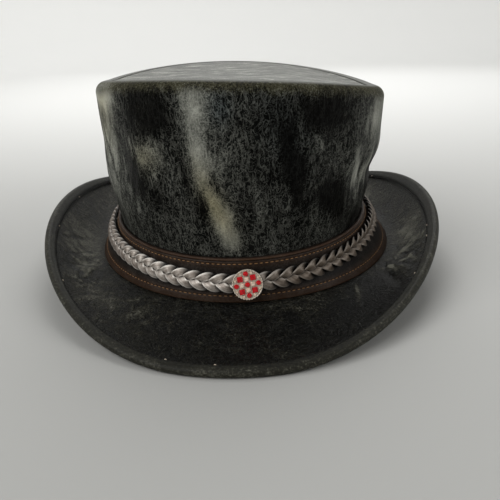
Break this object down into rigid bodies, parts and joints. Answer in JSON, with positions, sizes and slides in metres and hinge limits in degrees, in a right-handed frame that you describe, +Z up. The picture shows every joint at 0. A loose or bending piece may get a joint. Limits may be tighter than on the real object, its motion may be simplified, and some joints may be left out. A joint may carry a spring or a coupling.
{
  "type": "costume hat",
  "caption": "Short leather top hat with an oval brim turned up at the sides, a braided hat band and a round stone-set pin.",
  "frame": {"origin": "on the surface that the hat rests on, under the middle of the brim's outline", "axes": "+Z up out of the tip of the crown, +Y towards the back of the hat along its length, +X towards the wearer's left, which is the viewer's right when the pin faces the viewer"},
  "size_m": [0.2559, 0.332, 0.1258],
  "materials": {
    "crown_leather": "oiled pull-up leather, dark green-grey, rubbed lighter at the rim and on the folds",
    "tip_leather": "oiled pull-up leather, satin",
    "brim_leather": "oiled pull-up leather, satin, creased",
    "binding_leather": "soft leather, rubbed",
    "band_leather": "brown leather, stitched margins",
    "braid_leather": "metallic coated leather, silver grey",
    "setting": "bright plated",
    "red_glass": "polished, foil backed",
    "clear_glass": "polished, foil backed"
  },
  "bodies": {
    "root": {"crown_side": "crown_leather", "crown_tip": "tip_leather", "brim": "brim_leather", "brim_binding": "binding_leather", "band": "band_leather", "braid": "braid_leather", "pin_plate": "setting", "red_square_1": "red_glass", "red_square_2": "red_glass", "red_square_3": "red_glass", "red_square_4": "red_glass", "red_round_1": "red_glass", "red_round_2": "red_glass", "red_round_3": "red_glass", "red_round_4": "red_glass", "red_round_5": "red_glass", "clear_square_1": "clear_glass", "clear_square_2": "clear_glass", "clear_square_3": "clear_glass", "clear_square_4": "clear_glass", "clear_round_1": "clear_glass", "clear_round_2": "clear_glass", "clear_round_3": "clear_glass", "clear_round_4": "clear_glass", "clear_round_5": "clear_glass", "clear_round_6": "clear_glass", "clear_round_7": "clear_glass", "clear_round_8": "clear_glass"}
  },
  "joints": []
}
